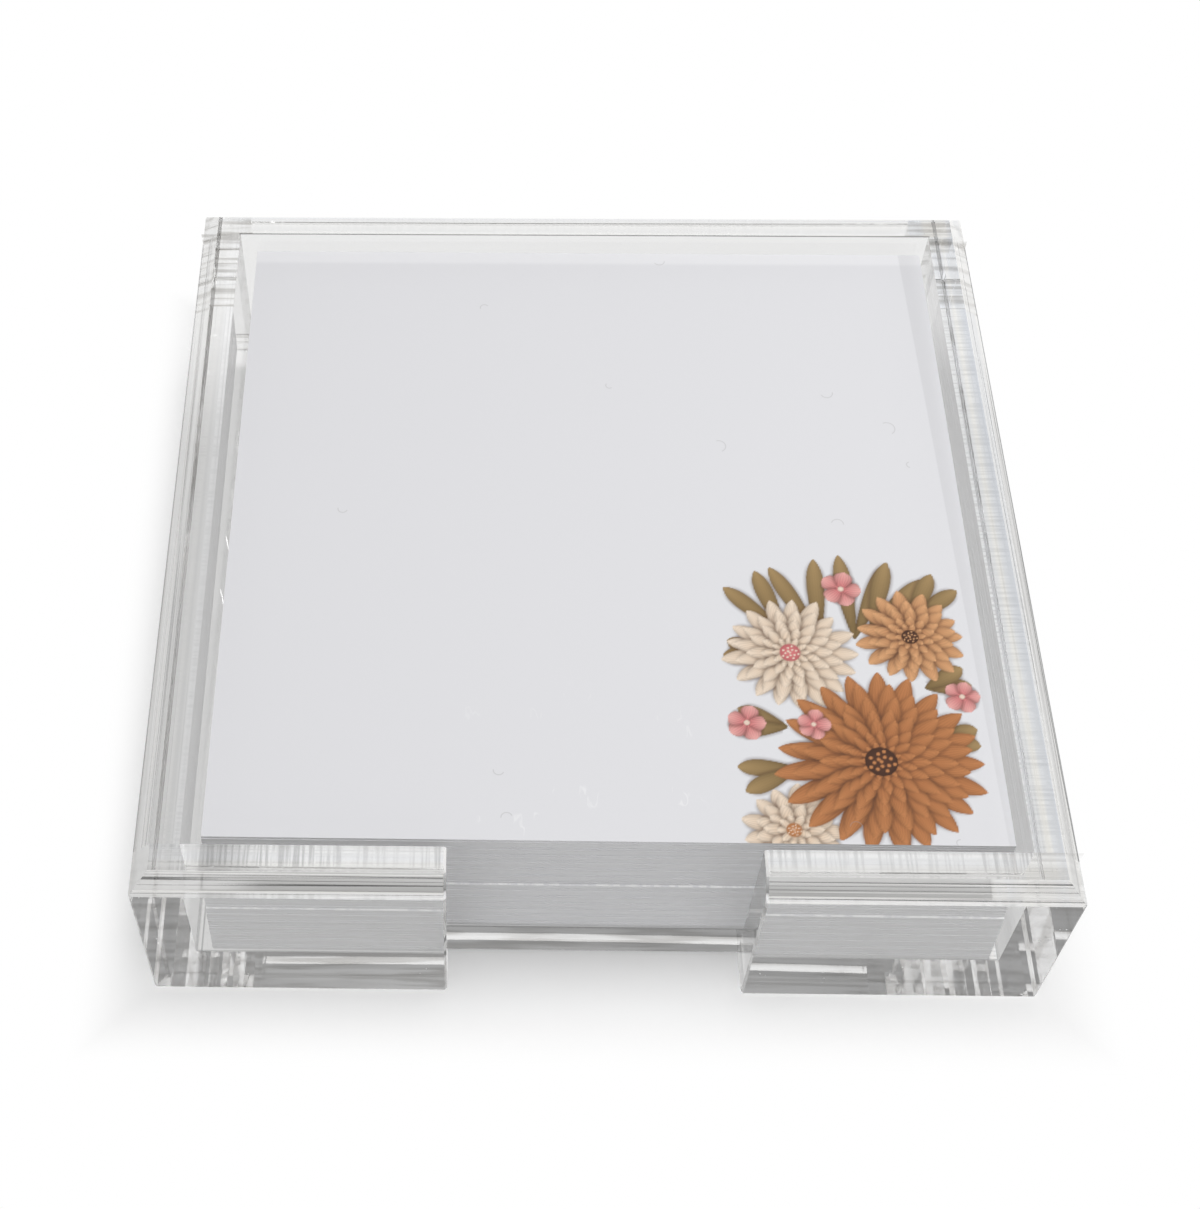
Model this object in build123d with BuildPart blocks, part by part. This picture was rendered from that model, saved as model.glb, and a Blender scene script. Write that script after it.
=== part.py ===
from build123d import *
import math
import os

os.makedirs("parts", exist_ok=True)

# Driving sizes in millimetres. Everything below follows from these.
card_size = 132.0           # edge of one square note card
card_thickness = 0.54       # heavy card stock
lower_cards = 24            # cards in the lower batch
upper_cards = 24            # cards in the upper batch, the printed one on top
sheet_thickness = 7.94      # clear sheet of the walls (5/16 in)
base_thickness = 8.9        # heavier clear sheet of the base plate
rim_bevel = 3.175           # slanting flat round the outer top edge (1/8 in)
notch_width = 50.8          # gap between the front pieces, for the fingers (2 in)
rim_height = 3.3            # how far the walls stand above the top card
edge_ease = 0.4             # small flat on the other free outer edges

# Room round the cards. The stack leans back a little, and the two batches meet in a small step.
card_gap_left = 2.94
card_gap_right = 1.58
card_gap_front = 0.35
card_gap_back = 1.56
stack_lean = 2.28           # how far the top card lies behind the lowest one, without the step
batch_step = 0.33           # how far the upper batch lies behind the lower one
stack_turn = -0.115         # degrees that the whole stack is turned by
card_wander = 0.04          # how far single cards lie from the line of their batch
card_turn = 0.02            # degrees that single cards are turned by

# Derived sizes.
total_cards = lower_cards + upper_cards
stack_height = total_cards * card_thickness
well_width = card_gap_left + card_size + card_gap_right
well_depth = card_gap_front + card_size + stack_lean + batch_step + card_gap_back
tray_width = well_width + 2 * sheet_thickness
tray_depth = well_depth + 2 * sheet_thickness
tray_height = base_thickness + stack_height + rim_height
front_length = (tray_width - notch_width) / 2

# Planes of the well, seen from above. The tray is centred on the origin.
front_face_y = -tray_depth / 2
back_face_y = tray_depth / 2
well_front_y = front_face_y + sheet_thickness
well_back_y = back_face_y - sheet_thickness
well_side_x = well_width / 2


def on_plane(edges: ShapeList, axis: Axis, value: float, reach: float = 1e-4) -> ShapeList:
    """Edges that lie wholly on the plane where the axis has this value, give or take the reach."""
    return edges.filter_by_position(axis, value - reach, value + reach)


# The outside of the whole tray as one block. Each wall is cut to it, so that the bevels meet at the corners.
with BuildPart() as eased_block:
    with BuildSketch(Plane.XY) as eased_outline:
        Rectangle(tray_width, tray_depth)
        chamfer(eased_outline.vertices(), edge_ease)
    extrude(amount=tray_height)
    chamfer(on_plane(eased_block.edges(), Axis.Z, 0), edge_ease)

with BuildPart() as outer_block:
    with BuildSketch(Plane.XY):
        Rectangle(tray_width, tray_depth)
    extrude(amount=tray_height)
    chamfer(on_plane(outer_block.edges(), Axis.Z, tray_height), rim_bevel)
    add(eased_block.part, mode=Mode.INTERSECT)

# The base plate lies between the four walls, flush with their feet.
with BuildPart() as base_plate:
    with BuildSketch(Plane.XY):
        Rectangle(well_width, well_depth)
    extrude(amount=base_thickness)
base_plate.part.label = "base_plate"
export_step(base_plate.part, "parts/base_plate.step")

# The back wall runs the full width and caps the ends of the side walls.
with BuildPart() as back_wall:
    with BuildSketch(Plane.XY):
        with Locations((0, back_face_y - sheet_thickness / 2)):
            Rectangle(tray_width, sheet_thickness)
    extrude(amount=tray_height)
    add(outer_block.part, mode=Mode.INTERSECT)
back_wall.part.label = "back_wall"
export_step(back_wall.part, "parts/back_wall.step")

# The side walls stand between the back wall and the front pieces.
with BuildPart() as left_wall:
    with BuildSketch(Plane.XY):
        with Locations((-well_side_x - sheet_thickness / 2, 0)):
            Rectangle(sheet_thickness, well_depth)
    extrude(amount=tray_height)
    add(outer_block.part, mode=Mode.INTERSECT)
left_wall.part.label = "left_wall"
export_step(left_wall.part, "parts/left_wall.step")

with BuildPart() as right_wall:
    add(left_wall.part)
    mirror(about=Plane.YZ, mode=Mode.REPLACE)
right_wall.part.label = "right_wall"
export_step(right_wall.part, "parts/right_wall.step")

# Two front pieces leave the finger notch open between them, down to the table.
with BuildPart() as front_left:
    with BuildSketch(Plane.XY):
        with Locations((-(notch_width + front_length) / 2, front_face_y + sheet_thickness / 2)):
            Rectangle(front_length, sheet_thickness)
    extrude(amount=tray_height)
    add(outer_block.part, mode=Mode.INTERSECT)
    notch_end = on_plane(front_left.edges(), Axis.X, -notch_width / 2)
    notch_free = notch_end - on_plane(notch_end, Axis.Y, well_front_y) - on_plane(notch_end, Axis.Z, 0)
    chamfer(notch_free, edge_ease)
front_left.part.label = "front_left"
export_step(front_left.part, "parts/front_left.step")

with BuildPart() as front_right:
    add(front_left.part)
    mirror(about=Plane.YZ, mode=Mode.REPLACE)
front_right.part.label = "front_right"
export_step(front_right.part, "parts/front_right.step")

# The cards lie in two batches. Each card is its own solid, resting on the one below.
stack_x = -well_side_x + card_gap_left + card_size / 2
stack_y = well_front_y + card_gap_front + card_size / 2

for number in range(1, total_cards + 1):
    lean = stack_lean * (number - 1) / (total_cards - 1)
    step = batch_step if number > lower_cards else 0
    card_x = stack_x + card_wander * math.sin(2.4 * number)
    card_y = stack_y + lean + step + card_wander * math.sin(1.7 * number + 0.8)
    card_z = base_thickness + (number - 1) * card_thickness
    turn = stack_turn + card_turn * math.sin(3.1 * number)
    if number == total_cards:
        name = "top_card"
    else:
        name = f"card_{number:02d}"
    with BuildPart() as card:
        with BuildSketch(Plane.XY.offset(card_z)):
            with Locations(Location((card_x, card_y, 0), (0, 0, turn))):
                Rectangle(card_size, card_size)
        extrude(amount=card_thickness)
    card.part.label = name
    export_step(card.part, f"parts/{name}.step")
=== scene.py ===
"""Looks of a clear acrylic note card holder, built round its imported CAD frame.

Lengths are metres in the frame's own axes: +Z up, -Y towards the finger notch, +X to the right.
"""

import logging
import math
from dataclasses import dataclass, field
from enum import Enum
from itertools import combinations

import bmesh
import bpy
import numpy as np
from mathutils import Matrix, Vector
from mathutils.bvhtree import BVHTree


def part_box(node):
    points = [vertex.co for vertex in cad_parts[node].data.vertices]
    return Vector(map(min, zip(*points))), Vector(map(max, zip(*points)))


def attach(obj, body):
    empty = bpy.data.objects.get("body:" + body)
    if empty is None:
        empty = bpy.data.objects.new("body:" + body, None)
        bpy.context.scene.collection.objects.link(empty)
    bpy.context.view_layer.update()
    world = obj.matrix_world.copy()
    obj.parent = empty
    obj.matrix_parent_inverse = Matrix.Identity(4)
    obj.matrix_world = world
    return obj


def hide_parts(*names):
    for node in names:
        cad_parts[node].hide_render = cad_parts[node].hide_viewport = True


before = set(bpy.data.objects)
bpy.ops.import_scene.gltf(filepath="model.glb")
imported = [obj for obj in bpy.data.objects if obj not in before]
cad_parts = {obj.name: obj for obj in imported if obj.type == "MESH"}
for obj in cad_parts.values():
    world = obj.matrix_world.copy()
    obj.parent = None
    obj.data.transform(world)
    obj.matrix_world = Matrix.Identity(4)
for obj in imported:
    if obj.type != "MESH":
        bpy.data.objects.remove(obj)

LOG = logging.getLogger("note_card_holder")
MM = 0.001
Triple = tuple[float, float, float]
Colour = Triple
Span = tuple[float, float]
BLACK: Colour = (0.0, 0.0, 0.0)
WHITE: Colour = (1.0, 1.0, 1.0)
EVENLY: Triple = (1.0, 1.0, 1.0)
CORNERS = ((-1, -1), (1, -1), (1, 1), (-1, 1))


class Body(Enum):
    """Bodies of the frame that new pieces ride on."""

    TRAY = "tray"
    TOP = "top_sheet"


class Slot(Enum):
    """Material slots of the record."""

    ACRYLIC = "clear_acrylic"
    CARD = "white_card"
    PRINT = "printed_card"


def grey(tone: float) -> Colour:
    """Grey of one tone."""
    return tone, tone, tone


@dataclass(frozen=True)
class Mark:
    """Random marks: their number in a metre, their finer layers, and the noise values they rise between."""

    scale: float
    detail: float
    span: Span


class Signal:
    """One value in a shader, for use in Python expressions."""

    def __init__(self, graph: "ShaderGraph", socket: bpy.types.NodeSocket) -> None:
        """Keep the socket and the graph it belongs to."""
        self.graph = graph
        self.socket = socket

    def _math(self, operation: str, first: "Signal | float", second: "Signal | float") -> "Signal":
        """Result of a Math node on two values."""
        return self.graph.node("ShaderNodeMath", {"operation": operation}, {0: first, 1: second})

    def __add__(self, other: "Signal | float") -> "Signal":
        """Sum."""
        return self._math("ADD", self, other)

    def __radd__(self, other: float) -> "Signal":
        """Sum with a number on the left."""
        return self._math("ADD", other, self)

    def __sub__(self, other: "Signal | float") -> "Signal":
        """Difference."""
        return self._math("SUBTRACT", self, other)

    def __rsub__(self, other: float) -> "Signal":
        """Difference with a number on the left."""
        return self._math("SUBTRACT", other, self)

    def __mul__(self, other: "Signal | float") -> "Signal":
        """Product."""
        return self._math("MULTIPLY", self, other)

    def __rmul__(self, other: float) -> "Signal":
        """Product with a number on the left."""
        return self._math("MULTIPLY", other, self)

    def __pow__(self, power: float) -> "Signal":
        """Power."""
        return self._math("POWER", self, power)

    def __abs__(self) -> "Signal":
        """Size without the sign."""
        return self._math("ABSOLUTE", self, 0.0)

    def highest(self, other: "Signal | float") -> "Signal":
        """Larger of two values."""
        return self._math("MAXIMUM", self, other)

    def rise(self, low: float, high: float) -> "Signal":
        """Smooth step that is 0 up to the low value and 1 from the high one on."""
        inputs = {"Value": self, "From Min": low, "From Max": high}
        return self.graph.node("ShaderNodeMapRange", {"interpolation_type": "SMOOTHSTEP"}, inputs)


class ShaderGraph:
    """Adds nodes to one material or world."""

    def __init__(self, tree: bpy.types.NodeTree) -> None:
        """Empty the tree and keep it."""
        tree.nodes.clear()
        self.tree = tree

    def node(self, kind: str, settings: dict | None = None, inputs: dict | None = None,
             output: int | str = 0) -> Signal:
        """Add a node.

        Args:
            kind: Blender's name of the node type.
            settings: Properties that are set first.
            inputs: Values or signals by socket name or number.
            output: Name or number of the output that is returned.

        Returns:
            The chosen output.
        """
        made = self.tree.nodes.new(kind)
        for name, value in (settings or {}).items():
            setattr(made, name, value)
        for key, value in (inputs or {}).items():
            if isinstance(value, Signal):
                self.tree.links.new(value.socket, made.inputs[key])
            elif isinstance(value, tuple) and made.inputs[key].type == "RGBA":
                made.inputs[key].default_value = (*value, 1.0)
            else:
                made.inputs[key].default_value = value
        return Signal(self, made.outputs[output] if made.outputs else None)

    def place(self) -> Signal:
        """Point of the surface in the frame, in metres."""
        return self.node("ShaderNodeTexCoord", output="Object")

    def axes(self, vector: Signal) -> tuple[Signal, Signal, Signal]:
        """X, Y and Z of a vector."""
        split = self.node("ShaderNodeSeparateXYZ", None, {0: vector}).socket.node
        return tuple(Signal(self, split.outputs[i]) for i in range(3))

    def facing(self) -> tuple[Signal, Signal, Signal]:
        """X, Y and Z of the surface's own direction."""
        return self.axes(self.node("ShaderNodeNewGeometry", output="True Normal"))

    def ray(self, kind: str) -> Signal:
        """What Light Path says about the ray under this name."""
        return self.node("ShaderNodeLightPath", output=kind)

    def noise(self, place: Signal, scale: float, detail: float, stretch: Triple = EVENLY) -> Signal:
        """Soft random value from 0 to 1.

        Args:
            place: Point to look up.
            scale: How many bumps there are in a metre.
            detail: Number of finer layers.
            stretch: Factor on each axis.

        Returns:
            The value.
        """
        spread = self.node("ShaderNodeVectorMath", {"operation": "MULTIPLY"}, {0: place, 1: stretch})
        inputs = {"Vector": spread, "Scale": scale, "Detail": detail}
        return self.node("ShaderNodeTexNoise", None, inputs, "Fac")

    def marks(self, place: Signal, mark: Mark, stretch: Triple = EVENLY) -> Signal:
        """1 on random marks of one kind and 0 beside them, stretched by a factor on each axis."""
        return self.noise(place, mark.scale, mark.detail, stretch).rise(*mark.span)

    def creases(self, place: Signal, mark: Mark, stretch: Triple = EVENLY) -> Signal:
        """1 on thin lines where the noise passes its middle value, and 0 beside them."""
        noise = self.noise(place, mark.scale, mark.detail, stretch)
        return 1 - abs(noise - 0.5).rise(*mark.span)

    def specks(self, place: Signal, scale: float, sizes: Span) -> Signal:
        """1 inside small round spots and 0 outside. Sizes are shares of a cell, from core to rim."""
        far = self.node("ShaderNodeTexVoronoi", None, {"Vector": place, "Scale": scale}, "Distance")
        return 1 - far.rise(*sizes)

    def curls(self, place: Signal, scale: float, radius: float, width: float) -> Signal:
        """Short curled hairs, at most one in a cell.

        Args:
            place: Point to look up.
            scale: How many cells there are in a metre.
            radius: Usual radius of the curls, in metres.
            width: Width of a hair, in metres.

        Returns:
            1 on a hair and 0 beside it.
        """
        smallest, core, soft_end, rarity, even = 0.6, width * 0.3, radius * 0.1, (0.6, 0.61), 0.5
        flat = {"voronoi_dimensions": "2D"}
        cell = self.node("ShaderNodeTexVoronoi", flat, {"Vector": place, "Scale": scale}).socket.node
        middle, chance = (Signal(self, cell.outputs[name]) for name in ("Position", "Color"))
        away = self.node("ShaderNodeVectorMath", {"operation": "SUBTRACT"}, {0: place, 1: middle})
        x, y, _ = self.axes(away)
        one, two, three = self.axes(chance)
        off_ring = abs((x * x + y * y) ** 0.5 - radius * (smallest + one)).rise(core, width)
        half_turn = (x * (one - even) + y * (two - even)).rise(0.0, soft_end)
        return (1 - off_ring) * half_turn * three.rise(*rarity)

    def blend(self, share: Signal | float, first: Signal | Colour, second: Signal | Colour) -> Signal:
        """Colour between two others: the first where the share is 0, the second where it is 1."""
        mixed = self.node("ShaderNodeMix", {"data_type": "RGBA"}, {0: share, 6: first, 7: second})
        return Signal(self, mixed.socket.node.outputs[2])

    def bump(self, height: Signal, strength: float, distance: float) -> Signal:
        """Surface direction from a height, where 1 stands for the distance in metres."""
        inputs = {"Height": height, "Strength": strength, "Distance": distance}
        return self.node("ShaderNodeBump", None, inputs, "Normal")

    def mix(self, share: Signal, first: Signal, second: Signal) -> Signal:
        """Shader between two others: the first where the share is 0, the second where it is 1."""
        return self.node("ShaderNodeMixShader", None, {0: share, 1: first, 2: second})

    def surface(self, shader: Signal) -> None:
        """Send a shader to the surface output."""
        self.node("ShaderNodeOutputMaterial", None, {"Surface": shader})


def new_material(name: str) -> tuple[bpy.types.Material, ShaderGraph]:
    """Make an empty material.

    Args:
        name: Name of the material.

    Returns:
        The material and its graph.
    """
    material = bpy.data.materials.new(name)
    material.use_nodes = True
    return material, ShaderGraph(material.node_tree)


class Grain(Enum):
    """Stretch of the marks on a sheet's cut edges: across the edge, and along it."""

    ALONG_X = ((1.0, 0.03, 1.0), (0.003, 1.0, 1.0))
    ALONG_Y = ((0.03, 1.0, 1.0), (1.0, 0.003, 1.0))


@dataclass(frozen=True)
class SheetCut:
    """How strongly the saw and the polishing show on one sheet's cut edges.

    Scores are lines on the bevels, rim and brim dark lines along the outer and the inner edge; on the base
    plate the rim line is partly the cement seam and partly painted shadow under the card stack. The caught
    glow is a painted grey glow that stands in for light that stays caught inside.
    """

    grain: Grain
    across: float = 0.0
    along: float = 0.0
    warmth: float = 0.0
    scores: float = 0.0
    rim: float = 0.0
    brim: float = 0.0
    caught_glow: float = 0.45
    between_walls: bool = False


@dataclass(frozen=True)
class AcrylicFinish:
    """Clear cast acrylic with polished sheet faces and fine saw marks on the cut edges."""

    tint: Colour = (0.99, 0.989, 0.985)
    cream: Colour = (1.0, 0.985, 0.94)
    cool: Colour = (0.86, 0.89, 0.94)
    shade: Colour = (0.985, 0.985, 0.985)
    refraction: float = 1.49
    caught_glow_depth: float = 14.0
    satin: float = 0.3
    satin_tone: Colour = (0.97, 0.96, 0.94)
    gleam: float = 0.6
    smear: float = 0.01
    saw_tone: float = 0.55
    saw_least: float = 0.5
    band_tone: float = 0.6
    mark_height: float = 0.0012 * MM
    wave_height: float = 0.002 * MM
    wave_scale: float = 60.0
    flat_facing: Span = (0.85, 0.95)
    edge_facing: Span = (0.55, 0.65)
    side_facing: Span = (0.5, 0.6)
    foot: Span = (0.1 * MM, 0.3 * MM)
    rim_line: Span = (0.15 * MM, 0.35 * MM)
    brim_line: Span = (0.35 * MM, 0.25 * MM)
    above_foot: Span = (5.0 * MM, 6.0 * MM)
    patches: Mark = Mark(45.0, 2.0, (0.35, 0.65))
    ticks: Mark = Mark(1700.0, 2.0, (0.4, 0.6))
    pale_ticks: Span = (0.5, 0.66)
    bands: Mark = Mark(520.0, 1.0, (0.44, 0.6))
    lines: Mark = Mark(3000.0, 1.0, (0.57, 0.72))
    scores: Mark = Mark(1100.0, 1.0, (0.008, 0.04))
    gleams: Mark = Mark(1500.0, 1.0, (0.56, 0.64))
    hues: Mark = Mark(300.0, 1.0, (0.42, 0.58))
    smears: Mark = Mark(35.0, 4.0, (0.52, 0.8))

    def material(self, name: str, cut: SheetCut) -> bpy.types.Material:
        """Make the material of one sheet.

        Args:
            name: Name of the material.
            cut: Marks on its cut edges.

        Returns:
            The material.
        """
        material, graph = new_material(name)
        place = graph.place()
        x, y, high = graph.axes(place)
        right, back, up = graph.facing()
        over, run = cut.grain.value
        sideways = back if cut.grain is Grain.ALONG_X else right
        flat = abs(up).rise(*self.flat_facing)
        edge = abs(up).rise(*self.edge_facing)
        bevel = edge - flat
        long_bevel = bevel * abs(sideways).rise(*self.side_facing) * cut.scores

        # What saw and polishing left on the cut edges.
        ticks = graph.noise(place, self.ticks.scale, self.ticks.detail, over)
        patches = graph.marks(place, self.patches)
        bands = graph.marks(place, self.bands, run) * self.band_tone
        pale = ticks.rise(*self.pale_ticks) * patches * cut.across
        dark = bands.highest(graph.marks(place, self.lines, run)) * cut.along * (1 - pale * flat) * edge
        strength = (self.saw_least + (1 - self.saw_least) * patches) * cut.across * self.saw_tone
        sawn = ticks.rise(*self.ticks.span) * strength * (1 - high.rise(*self.foot))
        gleam = graph.marks(place, self.gleams, run) * long_bevel

        # Dark lines along the bevels and along the outer and the inner edge. On the base plate the line
        # along its edge is partly the cement seam and partly painted shadow under the card stack.
        tray_side, well_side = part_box("right_wall")[1].x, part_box("base_plate")[1].x
        inside = (well_side if cut.between_walls else tray_side) - abs(x).highest(abs(y))
        lines = (1 - inside.rise(*self.rim_line)) * edge * cut.rim
        if not cut.between_walls:
            brim = inside.rise(*(tray_side - well_side - far for far in self.brim_line)) * flat * cut.brim
            lines = lines.highest(brim) * high.rise(*self.above_foot)
        cuts = lines.highest(graph.creases(place, self.scores, run) * long_bevel)

        # Clear stock under these marks, with a little satin on the bevels.
        hues = graph.blend(graph.marks(place, self.hues, run), self.cool, self.cream)
        hue = graph.blend(flat * cut.warmth, self.tint, hues)
        waves = graph.noise(place, self.wave_scale, 1.0)
        height = ticks * flat * (self.mark_height / self.wave_height) + waves
        clear = graph.node("ShaderNodeBsdfPrincipled", None, {
            "Base Color": graph.blend(dark.highest(sawn).highest(cuts), hue, BLACK),
            "Roughness": graph.marks(place, self.smears) * self.smear,
            "IOR": self.refraction,
            "Transmission Weight": 1.0,
            "Normal": graph.bump(height, 1.0, self.wave_height),
        })
        matt = graph.node("ShaderNodeBsdfDiffuse", None, {"Color": self.satin_tone})
        shader = graph.mix((bevel * self.satin + gleam * self.gleam) * (1 - cuts), clear, matt)
        # Painted light: rays that stay caught inside longer than this end in a grey glow that stands in for
        # the light they would find.
        caught = graph.ray("Ray Depth").rise(self.caught_glow_depth, self.caught_glow_depth + 1)
        caught_glow = graph.node("ShaderNodeEmission", None, {"Color": grey(cut.caught_glow), "Strength": 1.0})
        shader = graph.mix(caught, shader, caught_glow)
        passing = graph.node("ShaderNodeBsdfTransparent", None, {"Color": self.shade})
        graph.surface(graph.mix(graph.ray("Is Shadow Ray"), shader, passing))
        return material


@dataclass(frozen=True)
class CementFilm:
    """The clear cement in a seam. It ran in level streaks and holds tiny bubbles."""

    plain: float = 0.2
    streaky: float = 0.6
    streaks: Mark = Mark(300.0, 3.0, (0.46, 0.6))
    streak_stretch: Triple = (0.1, 0.1, 1.0)
    streak_tone: Colour = (0.45, 0.435, 0.41)
    bead_height: Span = (0.3 * MM, 0.7 * MM)
    bead_tone: float = 0.45
    bubble_colour: Colour = (0.95, 0.96, 0.96)
    bubble_scale: float = 900.0
    bubble_gloss: float = 0.1

    def material(self, name: str, strength: float) -> bpy.types.Material:
        """Make the film's material.

        Args:
            name: Name of the material.
            strength: How strongly the streaks show.

        Returns:
            The material.
        """
        material, graph = new_material(name)
        place = graph.place()
        _, _, high = graph.axes(place)
        streaks = graph.marks(place, self.streaks, self.streak_stretch) * strength
        bead = (1 - high.rise(*self.bead_height)) * self.bead_tone
        clear = graph.node("ShaderNodeBsdfTransparent")
        dim = graph.node("ShaderNodeBsdfTransparent", None, {"Color": self.streak_tone})
        graph.surface(graph.mix(streaks.highest(bead), clear, dim))
        return material

    def bubble_material(self, name: str) -> bpy.types.Material:
        """Make the material of the bubbles.

        Args:
            name: Name of the material.

        Returns:
            The material.
        """
        material, graph = new_material(name)
        tone = graph.noise(graph.place(), self.bubble_scale, 1.0)
        graph.surface(graph.node("ShaderNodeBsdfPrincipled", None, {
            "Base Color": graph.blend(tone, self.bubble_colour, WHITE),
            "Roughness": self.bubble_gloss,
        }))
        return material


@dataclass(frozen=True)
class CardMarksAndGlints:
    """Faint strips along the top card's back and right edge, dust, a few hairs, and painted glints near its
    front edge.
    """

    back_strip: Span = (63.2 * MM, 64.4 * MM)
    back_tone: Colour = (0.95, 0.95, 0.97)
    back_strength: float = 0.5
    right_strip: Span = (63.9 * MM, 64.2 * MM)
    right_fade: Span = (63.9 * MM, 69.9 * MM)
    right_slope: float = 0.022
    right_strength: float = 0.1
    dust_scale: float = 42.0
    dust_sizes: Span = (0.0084, 0.014)
    dust_tone: Colour = (0.35, 0.34, 0.33)
    dust_strength: float = 0.28
    hair_scale: float = 36.0
    hair_radius: float = 0.9 * MM
    hair_width: float = 0.15 * MM
    glint_folds: Mark = Mark(260.0, 3.0, (0.0, 0.02))
    glint_fold_stretch: Triple = (1.0, 0.35, 1.0)
    glint_patches: Mark = Mark(110.0, 2.0, (0.62, 0.66))
    glint_back: Span = (-50.0 * MM, -30.0 * MM)
    glint_left: Span = (-40.0 * MM, -10.0 * MM)
    glint_right: Span = (14.0 * MM, 19.0 * MM)
    glint_tone: Colour = (0.97, 0.97, 0.98)
    glint_strength: float = 0.5

    def lay(self, graph: ShaderGraph, place: Signal, colour: Signal) -> Signal:
        """Lay strips, dust, hairs and painted glints over a colour.

        Args:
            graph: Graph of the material.
            place: Point of the surface.
            colour: Colour of the clean card.

        Returns:
            The colour with all of these laid over it.
        """
        x, y, _ = graph.axes(place)
        colour = graph.blend(y.rise(*self.back_strip) * self.back_strength, colour, self.back_tone)
        right = (x + y * self.right_slope).rise(*self.right_strip) * (1 - x.rise(*self.right_fade))
        colour = graph.blend(right * self.right_strength, colour, BLACK)
        hairs = graph.curls(place, self.hair_scale, self.hair_radius, self.hair_width)
        dust = graph.specks(place, self.dust_scale, self.dust_sizes).highest(hairs)
        colour = graph.blend(dust * self.dust_strength, colour, self.dust_tone)
        # Painted glints: thin bright streaks in patches near the front edge, painted in as a highlight.
        patches = graph.marks(place, self.glint_patches) * (1 - y.rise(*self.glint_back))
        patches = patches * x.rise(*self.glint_left) * (1 - x.rise(*self.glint_right))
        glints = graph.creases(place, self.glint_folds, self.glint_fold_stretch) * patches
        return graph.blend(glints * self.glint_strength, colour, self.glint_tone)


@dataclass(frozen=True)
class CardFinish:
    """Smooth heavy card stock. Its cut sides are a little darker and show the layers."""

    face: Colour = (0.815, 0.815, 0.84)
    side: Colour = (0.73, 0.73, 0.74)
    side_dark: float = 0.9
    gloss: float = 0.45
    gloss_spread: float = 0.12
    face_facing: Span = (0.4, 0.6)
    fibres: Span = (2500.0, 4.0)
    fibre_share: float = 0.4
    fibre_height: float = 0.01 * MM
    fibre_bump: float = 0.4
    clouds: Span = (60.0, 3.0)
    cloud_share: float = 0.6
    glint_dashes: Mark = Mark(700.0, 3.0, (0.4, 0.6))
    glint_dash_stretch: Triple = (1.0, 0.2, 0.2)
    glint_dash_tone: Colour = (0.98, 0.98, 0.98)
    lip: Span = (0.6 * MM, 1.2 * MM)
    marks_and_glints: CardMarksAndGlints = CardMarksAndGlints()

    def material(self, name: str, shade: float) -> bpy.types.Material:
        """Make the material of plain cards.

        Args:
            name: Name of the material.
            shade: Factor on the brightness of the sides.

        Returns:
            The material.
        """
        material, graph = new_material(name)
        self._finish(graph, graph.place(), self.face, tuple(c * shade for c in self.side))
        return material

    def step_material(self, name: str, front: float) -> bpy.types.Material:
        """Make the material of the card whose front edge is a bright broken line between the batches,
        painted as a highlight on its bare lip.

        Args:
            name: Name of the material.
            front: Y of the card's front edge.

        Returns:
            The material.
        """
        material, graph = new_material(name)
        place = graph.place()
        _, y, _ = graph.axes(place)
        # Painted highlight: bright dashes on the lip that the card above leaves bare.
        lip = 1 - y.rise(*(front + depth for depth in self.lip))
        glint_dashes = graph.marks(place, self.glint_dashes, self.glint_dash_stretch) * lip
        self._finish(graph, place, graph.blend(glint_dashes, self.face, self.glint_dash_tone), self.side)
        return material

    def print_material(self, name: str, ink: str) -> bpy.types.Material:
        """Make the material of the printed card.

        Args:
            name: Name of the material.
            ink: Name of the colour attribute that holds the print.

        Returns:
            The material.
        """
        material, graph = new_material(name)
        place = graph.place()
        printed = graph.node("ShaderNodeVertexColor", {"layer_name": ink}, None, "Color")
        self._finish(graph, place, self.marks_and_glints.lay(graph, place, printed), self.side)
        return material

    def _finish(self, graph: ShaderGraph, place: Signal, face: Signal | Colour, side: Colour) -> None:
        """Join faces and sides into one card surface.

        Args:
            graph: Graph of the material.
            place: Point of the surface.
            face: Colour of the large faces.
            side: Colour of the cut sides.
        """
        _, _, up = graph.facing()
        fibres, clouds = graph.noise(place, *self.fibres), graph.noise(place, *self.clouds)
        layers = fibres * self.fibre_share + clouds * self.cloud_share
        cut = graph.blend(layers, tuple(c * self.side_dark for c in side), side)
        graph.surface(graph.node("ShaderNodeBsdfPrincipled", None, {
            "Base Color": graph.blend(abs(up).rise(*self.face_facing), cut, face),
            "Roughness": self.gloss + fibres * self.gloss_spread,
            "Normal": graph.bump(fibres, self.fibre_bump, self.fibre_height),
        }))


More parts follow.
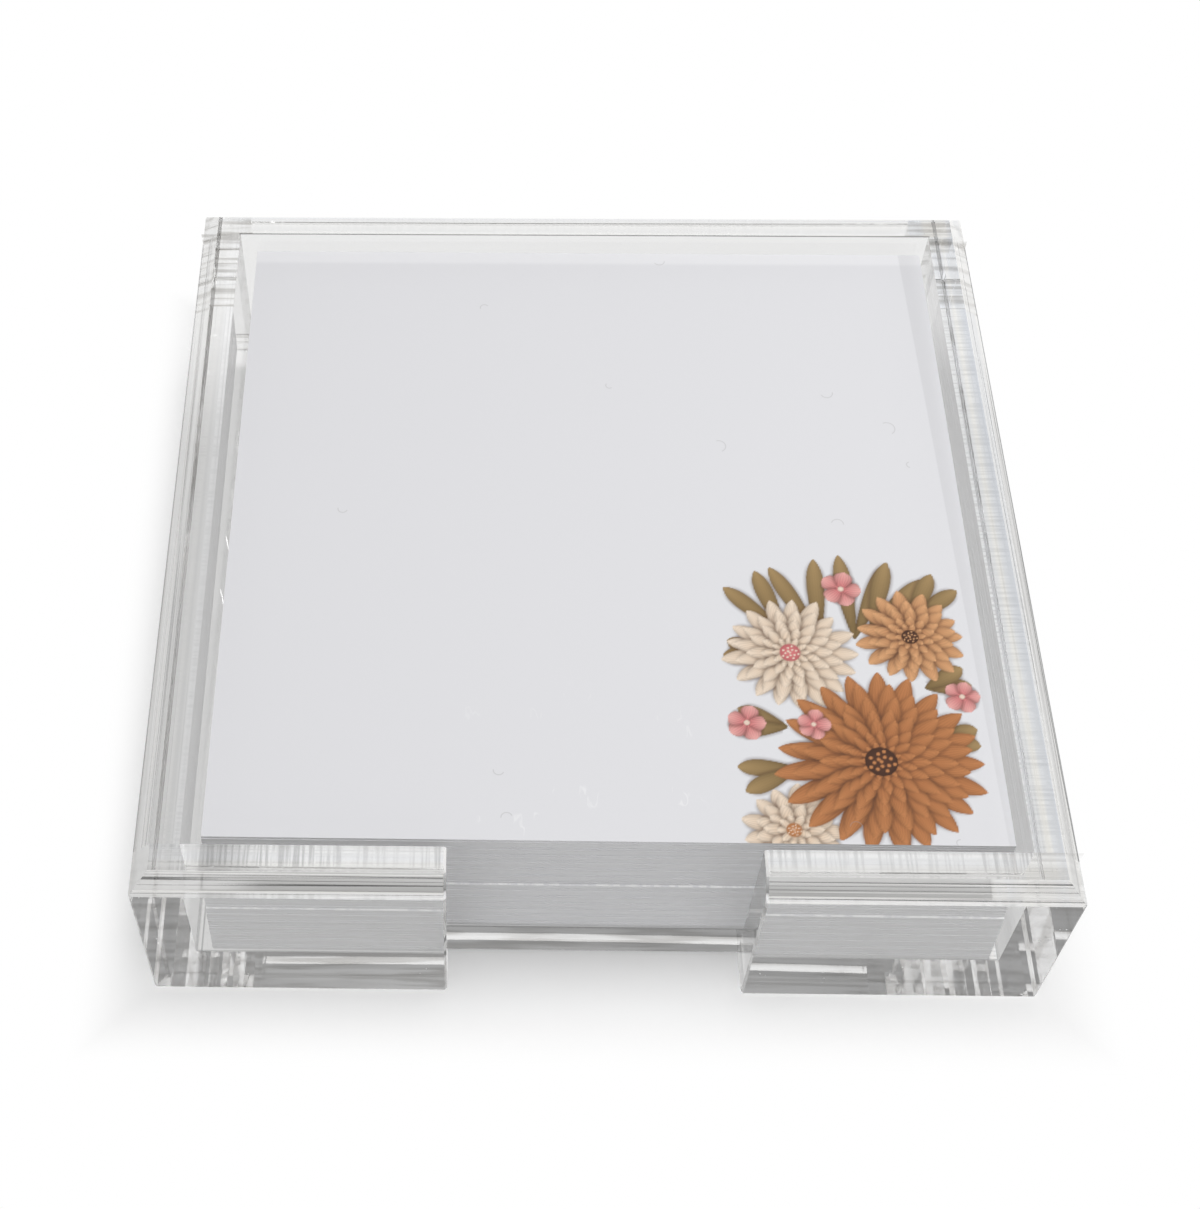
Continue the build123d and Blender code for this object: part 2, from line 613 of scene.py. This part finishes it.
@dataclass(frozen=True)
class FloorFinish:
    """Pale table top. Away from the tray it is plain white. Where the clear sheets show it, its colour is
    painted shade: greyer beside and under the tray, with a painted shadow of the card stack just inside the
    base plate's front edge.
    """

    colour: Colour = (0.97, 0.97, 0.97)
    white_from: Span = (0.5 * MM, 14.0 * MM)
    border: Span = (-0.5 * MM, 1.5 * MM)
    soft: float = 0.5 * MM
    under: float = 0.66
    lip_shadow: float = 0.25
    lip_shadow_reach: float = 6.0 * MM
    under_left: float = 0.68
    under_right: float = 0.88
    under_front: float = 0.92
    under_back: float = 0.99
    back_reach: float = 40.0 * MM
    left_edge_shade: float = 0.6
    edge_strip: Span = (12.0 * MM, 2.0 * MM)
    edge_end: Span = (6.0 * MM, 3.0 * MM)
    beside_left: float = 0.8
    beside_right: float = 0.56
    beside_turn: float = 10.0 * MM
    before: float = 0.95
    behind: float = 0.86
    corner: Span = (-15.0 * MM, 10.0 * MM)

    def material(self, name: str) -> bpy.types.Material:
        """Make the floor's material.

        Args:
            name: Name of the material.

        Returns:
            The material.
        """
        material, graph = new_material(name)
        x, y, _ = graph.axes(graph.place())
        left, front = 0 - x, 0 - y
        tray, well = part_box("right_wall")[1].x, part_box("base_plate")[1].x
        out = abs(x).highest(abs(y)) - tray
        kinds = ("Camera", "Glossy", "Transmission")
        camera, glossy, clear = (graph.ray(f"Is {kind} Ray") for kind in kinds)

        # Painted shade beside the tray, as its walls show the floor: darker on the right than on the left,
        # paler in front and behind.
        sideways = x.rise(-self.beside_turn, self.beside_turn)
        shade_around = graph.blend(sideways, grey(self.beside_left), grey(self.beside_right))
        for side, tone in ((y, self.behind), (front, self.before)):
            shade_around = graph.blend(side.rise(*(tray + far for far in self.corner)), shade_around, grey(tone))

        # Painted shade under the tray, as the base plate and the feet of the walls show it, with a painted
        # shadow of the card stack just inside the base plate's front edge and a darker strip along the left
        # wall.
        under = grey(self.under)
        walls = (
            (front, self.lip_shadow, self.lip_shadow_reach), (left, self.under_left, self.soft),
            (x, self.under_right, self.soft), (front, self.under_front, self.soft),
            (y, self.under_back, self.back_reach))
        for side, tone, reach in walls:
            under = graph.blend(side.rise(well - reach, well + self.soft), under, grey(tone))
        shade_strip = left.rise(*(well - far for far in self.edge_strip))
        shade_strip = shade_strip * (1 - left.rise(well, well + self.soft))
        shade_strip = shade_strip * (1 - y.rise(*(well - far for far in self.edge_end)))
        under = graph.blend(shade_strip, under, grey(self.left_edge_shade))

        # Glossy and clear rays see this painted shade; camera rays see white, and near the tray the matt
        # floor with its own shadow.
        shown = graph.blend(camera, graph.blend(out.rise(*self.border), under, shade_around), WHITE)
        matt = graph.node("ShaderNodeBsdfDiffuse", None, {"Color": self.colour})
        white = graph.node("ShaderNodeEmission", None, {"Color": shown, "Strength": 1.0})
        seen = (camera * out.rise(*self.white_from)).highest(glossy.highest(clear))
        graph.surface(graph.mix(seen, matt, white))
        return material


def mesh_piece(name: str, mesh: bpy.types.Mesh, body: Body) -> bpy.types.Object:
    """Put a mesh into the scene as a piece of the object.

    Args:
        name: Name of the piece.
        mesh: Its mesh, in the frame.
        body: Body it moves with.

    Returns:
        The new object.
    """
    piece = bpy.data.objects.new(name, mesh)
    bpy.context.scene.collection.objects.link(piece)
    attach(piece, body.value)
    LOG.info("piece %s: %d faces on %s", name, len(mesh.polygons), body.value)
    return piece


@dataclass
class AcrylicTray:
    """Base plate and walls of clear sheet, joined so that the seams let light straight through."""

    # caught_glow is the grey of each sheet's painted glow: dark in the base plate and front pieces, pale in
    # the walls.
    sheets: dict[str, SheetCut] = field(default_factory=lambda: {
        # Its rim line is partly the cement seam and partly painted shadow under the card stack.
        "base_plate": SheetCut(Grain.ALONG_X, rim=0.75, caught_glow=0.05, between_walls=True),
        "back_wall": SheetCut(Grain.ALONG_X, across=0.2, along=0.16, warmth=0.3, scores=0.2, brim=0.85),
        "left_wall": SheetCut(Grain.ALONG_Y, across=0.2, along=0.24, warmth=0.1, scores=0.65, rim=0.7),
        "right_wall": SheetCut(Grain.ALONG_Y, across=0.55, along=0.24, warmth=1.0, scores=0.9, rim=0.9),
        "front_left": SheetCut(Grain.ALONG_X, across=1.0, along=0.3, warmth=0.3, scores=0.9, caught_glow=0.08),
        "front_right": SheetCut(Grain.ALONG_X, across=1.0, along=0.3, warmth=0.3, scores=0.9, caught_glow=0.08),
    })
    finish: AcrylicFinish = AcrylicFinish()
    film: CementFilm = CementFilm()
    weld: float = 0.5e-6
    air_gap: float = 0.03 * MM
    least_seam: float = 1.0 * MM
    seam_inset: float = 0.05 * MM
    bubble_sizes: Span = (0.06 * MM, 0.28 * MM)
    bubbles_per_seam: int = 5
    bubble_margin: float = 0.05
    bubble_spread: float = 0.5
    bubble_rarity: int = 3
    bubble_seed: int = 11

    def build(self) -> None:
        """Make the six sheets and the cement between them."""
        trees = {name: self._tree(name) for name in self.sheets}
        joined = self._joined()
        owners = self._owners(joined, trees)
        for name, cut in self.sheets.items():
            shell = self._shell(joined, [i for i, owner in enumerate(owners) if owner == name], name)
            shell.materials.append(self.finish.material(f"acrylic_{name}", cut))
            piece = mesh_piece(f"clear_{name}", shell, Body.TRAY)
            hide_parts(name)
        bpy.data.meshes.remove(joined)
        self._cement()

    def _copy(self, name: str) -> bpy.types.Object:
        """Copy a sheet's CAD mesh, with its split corners joined.

        Args:
            name: Name of the CAD node.

        Returns:
            A scratch object in millimetres.
        """
        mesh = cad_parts[name].data.copy()
        mesh.materials.clear()
        work = bmesh.new()
        work.from_mesh(mesh)
        bmesh.ops.remove_doubles(work, verts=work.verts, dist=self.weld)
        bmesh.ops.scale(work, vec=(1 / MM,) * 3, verts=work.verts)
        work.to_mesh(mesh)
        work.free()
        copy = bpy.data.objects.new(f"scratch_{name}", mesh)
        bpy.context.scene.collection.objects.link(copy)
        return copy

    def _joined(self) -> bpy.types.Mesh:
        """Join the six sheets into one clear solid without inner faces.

        Returns:
            The mesh, in metres.
        """
        copies = [self._copy(name) for name in self.sheets]
        for other in copies[1:]:
            union = copies[0].modifiers.new(other.name, "BOOLEAN")
            union.operation = "UNION"
            union.solver = "EXACT"
            union.object = other
        ready = bpy.context.evaluated_depsgraph_get()
        mesh = bpy.data.meshes.new_from_object(copies[0].evaluated_get(ready))
        for copy in copies:
            bpy.data.objects.remove(copy)
        work = bmesh.new()
        work.from_mesh(mesh)
        bmesh.ops.remove_doubles(work, verts=work.verts, dist=self.weld / MM)
        bmesh.ops.scale(work, vec=(MM,) * 3, verts=work.verts)
        base_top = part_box("base_plate")[1].z
        for corner in work.verts:
            if abs(corner.co.z - base_top) < self.weld:
                corner.co.z -= self.air_gap
        work.to_mesh(mesh)
        work.free()
        return mesh

    def _tree(self, name: str) -> BVHTree:
        """Search tree of a sheet's CAD mesh."""
        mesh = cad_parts[name].data
        return BVHTree.FromPolygons([v.co for v in mesh.vertices], [p.vertices for p in mesh.polygons])

    def _owners(self, joined: bpy.types.Mesh, trees: dict[str, BVHTree]) -> list[str]:
        """Name of the sheet that each face of the joined solid belongs to."""
        centres = [face.center for face in joined.polygons]
        return [min(trees, key=lambda name: trees[name].find_nearest(centre)[3]) for centre in centres]

    def _shell(self, joined: bpy.types.Mesh, faces: list[int], name: str) -> bpy.types.Mesh:
        """Take some faces out of the joined solid as a mesh of their own.

        Args:
            joined: The joined solid.
            faces: Numbers of the faces.
            name: Name of the sheet.

        Returns:
            The open shell.
        """
        used = sorted({v for i in faces for v in joined.polygons[i].vertices})
        number = {v: n for n, v in enumerate(used)}
        shell = bpy.data.meshes.new(f"clear_{name}")
        shell.from_pydata([joined.vertices[v].co for v in used], [],
                          [[number[v] for v in joined.polygons[i].vertices] for i in faces])
        return shell

    def _cement(self) -> None:
        """Lay a film of cement with bubbles in each seam between two sheets."""
        plain = self.film.material("cement_film", self.film.plain)
        streaky = self.film.material("cement_film_back", self.film.streaky)
        rng = np.random.default_rng(self.bubble_seed)
        bubbles = bmesh.new()
        for first, second in combinations(self.sheets, 2):
            corners = self._seam(first, second)
            if corners is not None:
                mesh = bpy.data.meshes.new(f"cement_{first}_{second}")
                mesh.from_pydata(corners, [], [range(4)])
                mesh.materials.append(streaky if "back_wall" in (first, second) else plain)
                mesh_piece(mesh.name, mesh, Body.TRAY)
                self._bubbles(bubbles, corners, rng)
        mesh = bpy.data.meshes.new("cement_bubbles")
        bubbles.to_mesh(mesh)
        bubbles.free()
        mesh.materials.append(self.film.bubble_material("cement_bubble"))
        mesh_piece(mesh.name, mesh, Body.TRAY)

    def _bubbles(self, work: bmesh.types.BMesh, corners: list[Vector], rng: np.random.Generator) -> None:
        """Scatter bubbles over a seam, mostly small ones near its ends.

        Args:
            work: Mesh that takes the bubbles.
            corners: Corners of the seam.
            rng: Source of chance.
        """
        low, high = self.bubble_sizes
        room = 1 - 2 * self.bubble_margin
        for _ in range(self.bubbles_per_seam):
            shares = rng.beta(self.bubble_spread, self.bubble_spread), rng.random()
            u, v = (self.bubble_margin + room * share for share in shares)
            middle = corners[0].lerp(corners[1], u).lerp(corners[3].lerp(corners[2], u), v)
            radius = low + (high - low) * rng.random() ** self.bubble_rarity
            place = Matrix.Translation(middle)
            bmesh.ops.create_icosphere(work, subdivisions=1, radius=radius, matrix=place)

    def _seam(self, first: str, second: str) -> list[Vector] | None:
        """Find the rectangle where two sheets touch.

        Args:
            first: Name of a sheet.
            second: Name of another sheet.

        Returns:
            Its four corners, or None if the sheets don't touch.
        """
        (low_a, high_a), (low_b, high_b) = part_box(first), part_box(second)
        low = [max(a, b) for a, b in zip(low_a, low_b)]
        high = [min(a, b) for a, b in zip(high_a, high_b)]
        spans = [h - l for l, h in zip(low, high)]
        if min(spans) < -self.weld or sorted(spans)[1] < self.least_seam:
            return None
        thin = spans.index(min(spans))
        one, two = [axis for axis in range(3) if axis != thin]
        inset = self.seam_inset
        ends_one, ends_two = ((low[axis] + inset, high[axis] - inset) for axis in (one, two))
        corners = [Vector(low) for _ in range(4)]
        for corner, (i, j) in zip(corners, ((0, 0), (1, 0), (1, 1), (0, 1))):
            corner[one], corner[two] = ends_one[i], ends_two[j]
        return corners


@dataclass
class CardStack:
    """The plain cards under the printed one. The frame's own solids are shown."""

    finish: CardFinish = CardFinish()
    shades: tuple[float, ...] = (1.0, 0.985, 1.01)
    shade_stride: int = 7

    def build(self) -> None:
        """Dress each card in one of a few close shades."""
        stocks = [self.finish.material(f"card_stock_{i + 1}", shade) for i, shade in enumerate(self.shades)]
        cards = sorted(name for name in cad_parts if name.startswith("card_"))
        fronts = [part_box(name)[0].y for name in cards]
        step = max(range(len(cards) - 1), key=lambda i: fronts[i + 1] - fronts[i])
        for i, name in enumerate(cards):
            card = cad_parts[name]
            card.data.materials.clear()
            stock = stocks[i * self.shade_stride % len(stocks)]
            if i == step:
                stock = self.finish.step_material("card_stock_step_glint", fronts[i])
            card.data.materials.append(stock)
            LOG.info("piece %s: dressed in %s", name, stock.name)


def light(red: int, green: int, blue: int) -> Colour:
    """Turn screen values from 0 to 255 into the light values that shaders use."""
    return tuple(((v / 255 + 0.055) / 1.055) ** 2.4 for v in (red, green, blue))


class Ink(Enum):
    """Inks of the printed flowers."""

    CARAMEL = light(196, 132, 84)
    RUST = light(150, 86, 48)
    APRICOT = light(226, 172, 124)
    CREAM = light(242, 224, 204)
    SAND = light(222, 190, 158)
    UMBER = light(84, 54, 40)
    ROSE = light(214, 120, 122)
    BLUSH = light(240, 178, 172)
    LEAF = light(170, 142, 98)
    MOSS = light(126, 104, 66)


@dataclass
class PrintSheet:
    """Points of the card's printed corner and their ink, in millimetres from its front left corner."""

    x: np.ndarray
    y: np.ndarray
    ink: np.ndarray

    def lay(self, cover: np.ndarray, colour: np.ndarray) -> None:
        """Lay a colour over the ink that is there, as far as each point is covered."""
        self.ink += cover[..., None] * (colour - self.ink)


@dataclass(frozen=True)
class Petal:
    """One petal or leaf, drawn from its root to its tip, in millimetres."""

    root: Span
    angle: float
    length: float
    width: float
    inner: Ink
    outer: Ink
    ribs: float = 0.3
    rib_turns: float = 11.0
    rib_fade: float = 0.6
    crown: float = 1.06
    fall: float = 0.38
    soft: float = 0.12
    past_tip: float = 1.06
    shade: float = 0.42
    shade_reach: float = 0.6
    shade_tip: float = 6.0
    shade_root: float = 0.1

    def paint(self, sheet: PrintSheet) -> None:
        """Paint the petal over a soft shade of itself.

        Args:
            sheet: Sheet that is painted on.
        """
        dx, dy = sheet.x - self.root[0], sheet.y - self.root[1]
        along = (dx * math.cos(self.angle) + dy * math.sin(self.angle)) / self.length
        across = dy * math.cos(self.angle) - dx * math.sin(self.angle)
        t = np.clip(along, 0.0, 1.0)
        half = self._half_width(t)
        room = np.where((along > 0) & (along < self.past_tip), half - np.abs(across), -1.0)
        near = np.clip((room + self.shade_reach) / self.shade_reach, 0, 1)
        near = near * np.clip((1 - along) * self.shade_tip, 0, 1)
        sheet.lay(self.shade * near * (along > self.shade_root), np.array(Ink.UMBER.value))
        side = np.clip(across / np.maximum(half, 1e-6), -1, 1)
        ribs = self.ribs * np.cos(side * self.rib_turns) ** 2 * (1 - self.rib_fade * t)
        tone = self.crown - self.fall * side ** 2 - ribs
        colour = np.array(self.inner.value) * (1 - t[..., None]) + np.array(self.outer.value) * t[..., None]
        sheet.lay(np.clip(room / self.soft, 0, 1), colour * tone[..., None])

    def _half_width(self, t: np.ndarray) -> np.ndarray:
        """Half the width at a share t of the length: a narrow root, a full shoulder and a rounded tip."""
        return self.width * 1.6 * np.sqrt(t + 0.02) * (1 - t ** 3) ** 0.75 * (0.55 + 0.45 * t)


@dataclass(frozen=True)
class Rosette:
    """A full flower head: rings of petals round a small heart with seeds, in millimetres."""

    centre: Span
    radius: float
    rings: int
    petals: int
    inner: Ink
    outer: Ink
    heart: Ink
    heart_rings: float = 0.6
    crowding: Span = (0.55, 0.45)
    least_petals: int = 5
    wander: float = 0.06
    lengths: Span = (0.94, 0.1)
    overlap: float = 2.6
    heart_share: float = 0.16
    seeds: int = 14
    seed_turn: float = 2.4
    seed_reach: float = 0.13
    seed_share: float = 0.022
    dot_crown: float = 1.05
    dot_fall: float = 0.35
    dot_soft: float = 0.12

    def paint(self, sheet: PrintSheet, rng: np.random.Generator) -> None:
        """Paint the petals from the outer ring to the heart.

        Args:
            sheet: Sheet that is painted on.
            rng: Source of chance.
        """
        for ring in range(self.rings):
            share = 1 - ring / (self.rings + self.heart_rings)
            least, more = self.crowding
            count = max(self.least_petals, round(self.petals * (least + more * share)))
            for k in rng.permutation(count):
                turn = k + 0.5 * (ring % 2) + rng.normal(0, self.wander)
                length = self.radius * share * (self.lengths[0] + self.lengths[1] * rng.random())
                width = self.overlap * length / count
                angle = 2 * math.pi * turn / count
                Petal(self.centre, angle, length, width, self.inner, self.outer).paint(sheet)
        self._dot(sheet, self.centre, self.radius * self.heart_share, self.heart)
        for k in range(self.seeds):
            angle, reach = self.seed_turn * k, self.radius * self.seed_reach * math.sqrt(k / self.seeds)
            spot = (self.centre[0] + reach * math.cos(angle), self.centre[1] + reach * math.sin(angle))
            self._dot(sheet, spot, self.radius * self.seed_share, self.outer)

    def _dot(self, sheet: PrintSheet, centre: Span, radius: float, ink: Ink) -> None:
        """Paint a round dot.

        Args:
            sheet: Sheet that is painted on.
            centre: Middle of the dot.
            radius: Its radius.
            ink: Its colour.
        """
        far = np.hypot(sheet.x - centre[0], sheet.y - centre[1])
        tone = self.dot_crown - self.dot_fall * np.clip(far / radius, 0, 1) ** 2
        sheet.lay(np.clip((radius - far) / self.dot_soft, 0, 1), np.array(ink.value) * tone[..., None])


@dataclass
class FlowerSpray:
    """Generic spray of garden flowers in the front right corner, cut off by the card's front edge.

    Places are millimetres from the card's front left corner. A leaf is X, Y, degrees and length.
    """

    left: float = 85.0
    right: float = 131.5
    top: float = 58.5
    leaves: tuple[tuple[float, float, float, float], ...] = (
        (104, 40, 105, 17), (110, 40, 82, 18), (113, 42, 62, 15), (120, 44, 52, 11), (121, 30, 20, 8),
        (98, 41, 124, 14), (94, 36, 165, 7), (97, 22, 172, 9), (98, 14, 195, 10), (122, 20, 5, 7))
    leaf_bends: Span = (-16, 12)
    leaf_width: float = 1.9
    leaf_ribs: float = 0.1
    heads: tuple[Rosette, ...] = (
        Rosette((96.5, 2.5), 8.5, 4, 13, Ink.SAND, Ink.CREAM, Ink.CARAMEL),
        Rosette((119.6, 40.5), 9.5, 5, 15, Ink.RUST, Ink.APRICOT, Ink.UMBER),
        Rosette((98.6, 37.0), 11.6, 5, 17, Ink.SAND, Ink.CREAM, Ink.ROSE),
        Rosette((112.0, 15.5), 17.6, 7, 21, Ink.RUST, Ink.CARAMEL, Ink.UMBER))
    blossoms: tuple[tuple[Span, float], ...] = (
        ((108.6, 50.5), 3.6), ((90.2, 22.8), 3.4), ((101.4, 22.6), 3.0), ((127.0, 28.4), 3.2))
    blossom_petals: int = 5
    seed: int = 5

    def paint(self, sheet: PrintSheet) -> None:
        """Paint leaves, flower heads and small blossoms.

        Args:
            sheet: Sheet that is painted on.
        """
        rng = np.random.default_rng(self.seed)
        for x, y, turn, length in self.leaves:
            for bend in self.leaf_bends:
                leaf = (x, y), math.radians(turn + bend), length, self.leaf_width
                Petal(*leaf, Ink.MOSS, Ink.LEAF, self.leaf_ribs).paint(sheet)
        for head in self.heads:
            head.paint(sheet, rng)
        for centre, radius in self.blossoms:
            blossom = Rosette(centre, radius, 1, self.blossom_petals, Ink.ROSE, Ink.BLUSH, Ink.CREAM)
            blossom.paint(sheet, rng)


@dataclass
class TopCard:
    """The printed card on top of the stack."""

    finish: CardFinish = CardFinish()
    spray: FlowerSpray = field(default_factory=FlowerSpray)
    step: float = 0.2
    bare: int = 2
    ink_name: str = "print_ink"

    def build(self) -> None:
        """Make the card with its print. The outermost points of the fine grid stay bare paper."""
        corners, low = self._corners()
        width = (corners[1] - corners[0]).length / MM
        depth = (corners[3] - corners[0]).length / MM
        x = np.concatenate(([0.0], np.arange(self.spray.left, self.spray.right, self.step), [width]))
        y = np.concatenate((np.arange(0.0, self.spray.top, self.step), [depth]))
        mesh = self._mesh(corners, low, x / width, y / depth)
        grid_x, grid_y = np.meshgrid(x, y)
        paper = np.broadcast_to(np.array(self.finish.face), (*grid_x.shape, 3)).copy()
        fine = slice(None, -self.bare), slice(self.bare, -self.bare)
        self.spray.paint(PrintSheet(grid_x[fine], grid_y[fine], paper[fine]))
        ink = np.ones((len(mesh.vertices), 4))
        ink[:, :3] = self.finish.face
        ink[:grid_x.size, :3] = paper.reshape(-1, 3)
        layer = mesh.color_attributes.new(self.ink_name, "FLOAT_COLOR", "POINT")
        layer.data.foreach_set("color", ink.ravel())
        mesh.materials.append(self.finish.print_material("printed_card_stock", self.ink_name))
        piece = mesh_piece("printed_top_card", mesh, Body.TOP)
        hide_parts("top_card")

    def _corners(self) -> tuple[list[Vector], float]:
        """Find the corners of the CAD card's upper face, and the height of its lower face.

        Returns:
            Front left, front right, back right and back left corner, and the lower height.
        """
        points = [v.co.copy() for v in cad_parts["top_card"].data.vertices]
        low, high = min(p.z for p in points), max(p.z for p in points)
        upper = [p for p in points if p.z > (low + high) / 2]
        return [max(upper, key=lambda p: sx * p.x + sy * p.y) for sx, sy in CORNERS], low

    def _mesh(self, corners: list[Vector], low: float, u: np.ndarray, v: np.ndarray) -> bpy.types.Mesh:
        """Make the card's mesh, with a fine grid where it is printed.

        Args:
            corners: Corners of the upper face.
            low: Height of the lower face.
            u: Columns of the grid, as shares of the width.
            v: Rows of the grid, as shares of the depth.

        Returns:
            The mesh. Its first points are those of the grid, row by row.
        """
        front_left, front_right, back_right, back_left = (np.array(c) for c in corners)
        across, deep = (a[..., None] for a in np.meshgrid(u, v))
        grid = (front_left * (1 - across) + front_right * across) * (1 - deep)
        grid = grid + (back_left * (1 - across) + back_right * across) * deep
        number = np.arange(len(u) * len(v)).reshape(len(v), len(u))
        cells = (number[:-1, :-1], number[:-1, 1:], number[1:, 1:], number[1:, :-1])
        faces = np.stack(cells, -1).reshape(-1, 4)
        under = [(*c.xy, low) for c in corners]
        a, b, c, d = range(number.size, number.size + 4)
        edges = (number[0, ::-1], number[::-1, -1], number[-1], number[:, 0])
        sides = [[*edge.tolist(), *ends] for edge, ends in zip(edges, ((a, b), (b, c), (c, d), (d, a)))]
        points = [*grid.reshape(-1, 3).tolist(), *under]
        mesh = bpy.data.meshes.new("printed_top_card")
        mesh.from_pydata(points, [], [*faces.tolist(), [a, d, c, b], *sides])
        mesh.validate()
        return mesh


@dataclass(frozen=True)
class Lamp:
    """A square soft lamp that points at the tray. The clear sheets show it only if it is mirrored."""

    name: str
    place: Triple
    size: float
    power: float
    mirrored: bool

    def hang(self) -> None:
        """Put the lamp into the scene."""
        lamp = bpy.data.lights.new(self.name, "AREA")
        lamp.shape = "SQUARE"
        lamp.size = self.size
        lamp.energy = self.power
        hung = bpy.data.objects.new(self.name, lamp)
        hung.location = self.place
        hung.rotation_euler = (-Vector(self.place)).to_track_quat("-Z", "Y").to_euler()
        hung.visible_glossy = hung.visible_transmission = self.mirrored
        bpy.context.scene.collection.objects.link(hung)


@dataclass
class Studio:
    """Table, soft light and the camera at the photograph's angle."""

    floor_drop: float = 0.1 * MM
    floor_half: float = 4.0
    floor: FloorFinish = FloorFinish()
    sky: tuple[Span, ...] = ((0.5, 0.75), (0.66, 0.7), (0.74, 0.22), (0.95, 0.25), (0.985, 0.8))
    lamps: tuple[Lamp, ...] = (
        Lamp("softbox", (0.25, 0.0, 0.95), 0.6, 5.0, False),
        Lamp("window", (0.75, 0.1, 0.75), 0.3, 1.2, True))
    clear_bounces: int = 24
    all_bounces: int = 32
    camera_place: Triple = (-0.02176, -0.21913, 0.32443)
    heading: float = -1.911
    dip: float = 55.054
    roll: float = -1.115
    focal_px: float = 2005.4
    long_side_px: float = 1209.0
    centre_shift_px: Span = (167.2, -9.4)
    sensor: float = 36.0
    near_clip: float = 0.01

    def build(self) -> None:
        """Set up the whole studio."""
        scene = bpy.context.scene
        scene.view_settings.view_transform = "Standard"
        scene.cycles.glossy_bounces = scene.cycles.transmission_bounces = self.clear_bounces
        scene.cycles.max_bounces = self.all_bounces
        self._table()
        self._air()
        for lamp in self.lamps:
            lamp.hang()
        self._camera()

    def _table(self) -> None:
        """Lay the table top just under the tray."""
        half = self.floor_half
        corners = [(sx * half, sy * half, -self.floor_drop) for sx, sy in CORNERS]
        mesh = bpy.data.meshes.new("table_top")
        mesh.from_pydata(corners, [], [range(4)])
        mesh.materials.append(self.floor.material("table_white"))
        table = bpy.data.objects.new("table_top", mesh)
        bpy.context.scene.collection.objects.link(table)

    def _air(self) -> None:
        """Light the room from a pale sky with a greyer band half way up."""
        world = bpy.data.worlds.new("studio_air")
        bpy.context.scene.world = world
        world.use_nodes = True
        graph = ShaderGraph(world.node_tree)
        _, _, up = graph.axes(graph.node("ShaderNodeTexCoord", output="Generated"))
        sky = graph.node("ShaderNodeValToRGB", None, {"Fac": up * 0.5 + 0.5})
        stops = sky.socket.node.color_ramp.elements
        while len(stops) < len(self.sky):
            stops.new(1.0)
        for stop, (height, tone) in zip(stops, self.sky):
            stop.position = height
            stop.color = (*grey(tone), 1.0)
        shown = graph.blend(graph.ray("Is Camera Ray"), sky, WHITE)
        air = graph.node("ShaderNodeBackground", None, {"Color": shown, "Strength": 1.0})
        graph.node("ShaderNodeOutputWorld", None, {"Surface": air})

    def _camera(self) -> None:
        """Put the camera where the photograph was taken from."""
        data = bpy.data.cameras.new("photo_camera")
        data.sensor_width = self.sensor
        data.lens = self.sensor * self.focal_px / self.long_side_px
        data.shift_x, data.shift_y = (shift / self.long_side_px for shift in self.centre_shift_px)
        data.clip_start = self.near_clip
        camera = bpy.data.objects.new("photo_camera", data)
        turn = Matrix.Rotation(math.radians(-self.heading), 4, "Z")
        tilt = Matrix.Rotation(math.radians(90 - self.dip), 4, "X")
        roll = Matrix.Rotation(math.radians(self.roll), 4, "Z")
        camera.matrix_world = Matrix.Translation(self.camera_place) @ turn @ tilt @ roll
        bpy.context.scene.collection.objects.link(camera)
        bpy.context.scene.camera = camera


def main() -> None:
    """Build the object and its studio."""
    logging.basicConfig(level=logging.INFO, format="%(name)s: %(message)s")
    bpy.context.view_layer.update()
    AcrylicTray().build()
    CardStack().build()
    TopCard().build()
    Studio().build()


if __name__ == "__main__":
    main()
